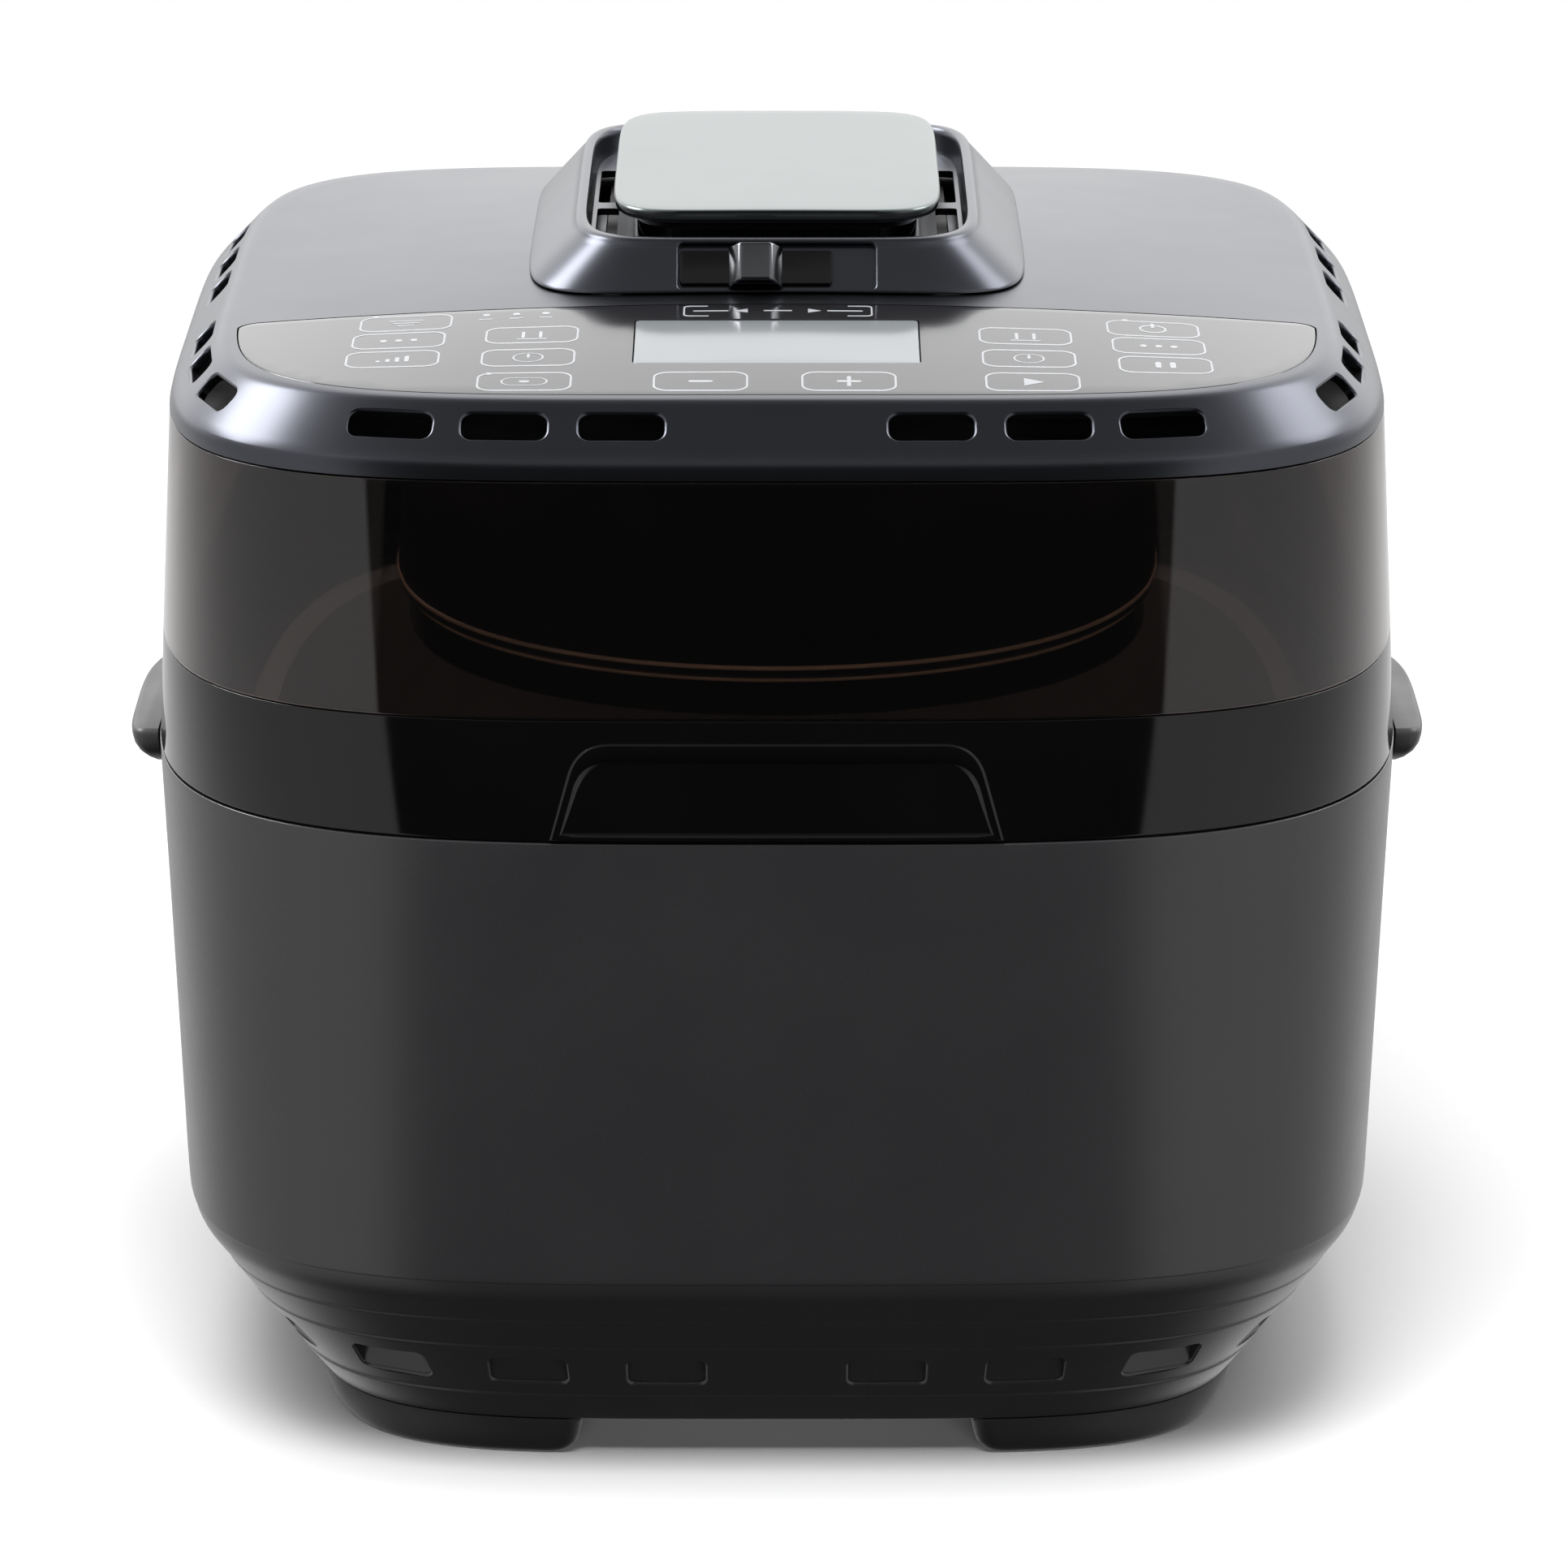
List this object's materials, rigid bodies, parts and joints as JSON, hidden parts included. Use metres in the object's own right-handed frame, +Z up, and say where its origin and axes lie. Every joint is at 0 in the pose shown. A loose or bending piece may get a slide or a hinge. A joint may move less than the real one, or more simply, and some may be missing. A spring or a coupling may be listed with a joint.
{
  "type": "air fryer",
  "caption": "Counter-top hot-air cooker: square tapered base with a lift-out pot, and a lift-off powered lid with window band, fan, heater and vent slider.",
  "frame": {"origin": "middle of the footprint, on the table under the feet", "axes": "+X to the cooker's right seen from the front, +Z up, the control panel faces -Y"},
  "size_m": [0.3716, 0.354, 0.3391],
  "materials": {
    "matte_black": "fine-grained matte",
    "dark_rubber": "matte",
    "gunmetal": "dark semi-gloss",
    "steel": "brushed",
    "aluminium": "pressed",
    "coated_steel": "dark coating",
    "gloss_black": "gloss",
    "smoke_amber": "clear, smoke amber",
    "panel_grey": "gloss overlay",
    "display": "pale",
    "board_green": "solder mask",
    "satin_metal": "satin metal look",
    "copper": "heat-coloured"
  },
  "bodies": {
    "base": {"base_shell": "matte_black", "base_floor": "matte_black", "foot_front_left": "dark_rubber", "foot_front_right": "dark_rubber", "foot_rear_left": "dark_rubber", "foot_rear_right": "dark_rubber", "side_handle_left": "gunmetal", "side_handle_right": "gunmetal", "inner_liner": "steel", "rotisserie_motor": "aluminium", "rotisserie_idle_pivot": "steel"},
    "rotisserie_drive": {"rotisserie_drive_dog": "steel"},
    "pot": {"cooking_pot": "coated_steel", "crisper_plate": "coated_steel"},
    "lid": {"lid_skirt": "gloss_black", "pull_hood": "gloss_black", "lid_gasket": "dark_rubber", "window_band": "smoke_amber", "head_cover": "gunmetal", "control_panel": "panel_grey", "display_window": "display", "display_module": "display", "control_board": "board_green", "power_board": "board_green", "head_deck": "matte_black", "cord_gland": "dark_rubber", "handle_collar": "gunmetal", "handle_post": "gloss_black", "handle_cap": "satin_metal", "vent_grille": "matte_black", "heater_drum": "coated_steel", "heater_partition": "aluminium", "element_guard": "steel", "heating_element": "copper", "fan_motor": "aluminium", "temperature_probe": "steel", "deck_screw_1": "steel", "deck_screw_2": "steel", "deck_screw_3": "steel", "deck_screw_4": "steel"},
    "fan_rotor": {"fan_shaft": "steel", "convection_fan": "aluminium", "cooling_fan": "aluminium"},
    "vent_slider": {"vent_lever": "gloss_black", "vent_shutter": "gunmetal"}
  },
  "joints": [
    {"name": "lid_lift", "type": "slide", "parent": "base", "child": "lid", "axis": [0, 0, 1], "range_m": [0, 0.32]},
    {"name": "pot_lift", "type": "slide", "parent": "base", "child": "pot", "axis": [0, 0, 1], "range_m": [0, 0.16]},
    {"name": "vent_slide", "type": "slide", "parent": "lid", "child": "vent_slider", "axis": [1, 0, 0], "range_m": [0, 0.012]},
    {"name": "fan_spin", "type": "hinge", "parent": "lid", "child": "fan_rotor", "pos_m": [0, 0, 0.25], "axis": [0, 0, 1], "continuous": true},
    {"name": "rotisserie_spin", "type": "hinge", "parent": "base", "child": "rotisserie_drive", "pos_m": [0.1535, 0, 0.148], "axis": [1, 0, 0], "continuous": true}
  ],
  "couplings": [
    {"joint": "pot_lift", "follows": "lid_lift", "ratio": 0.5}
  ]
}
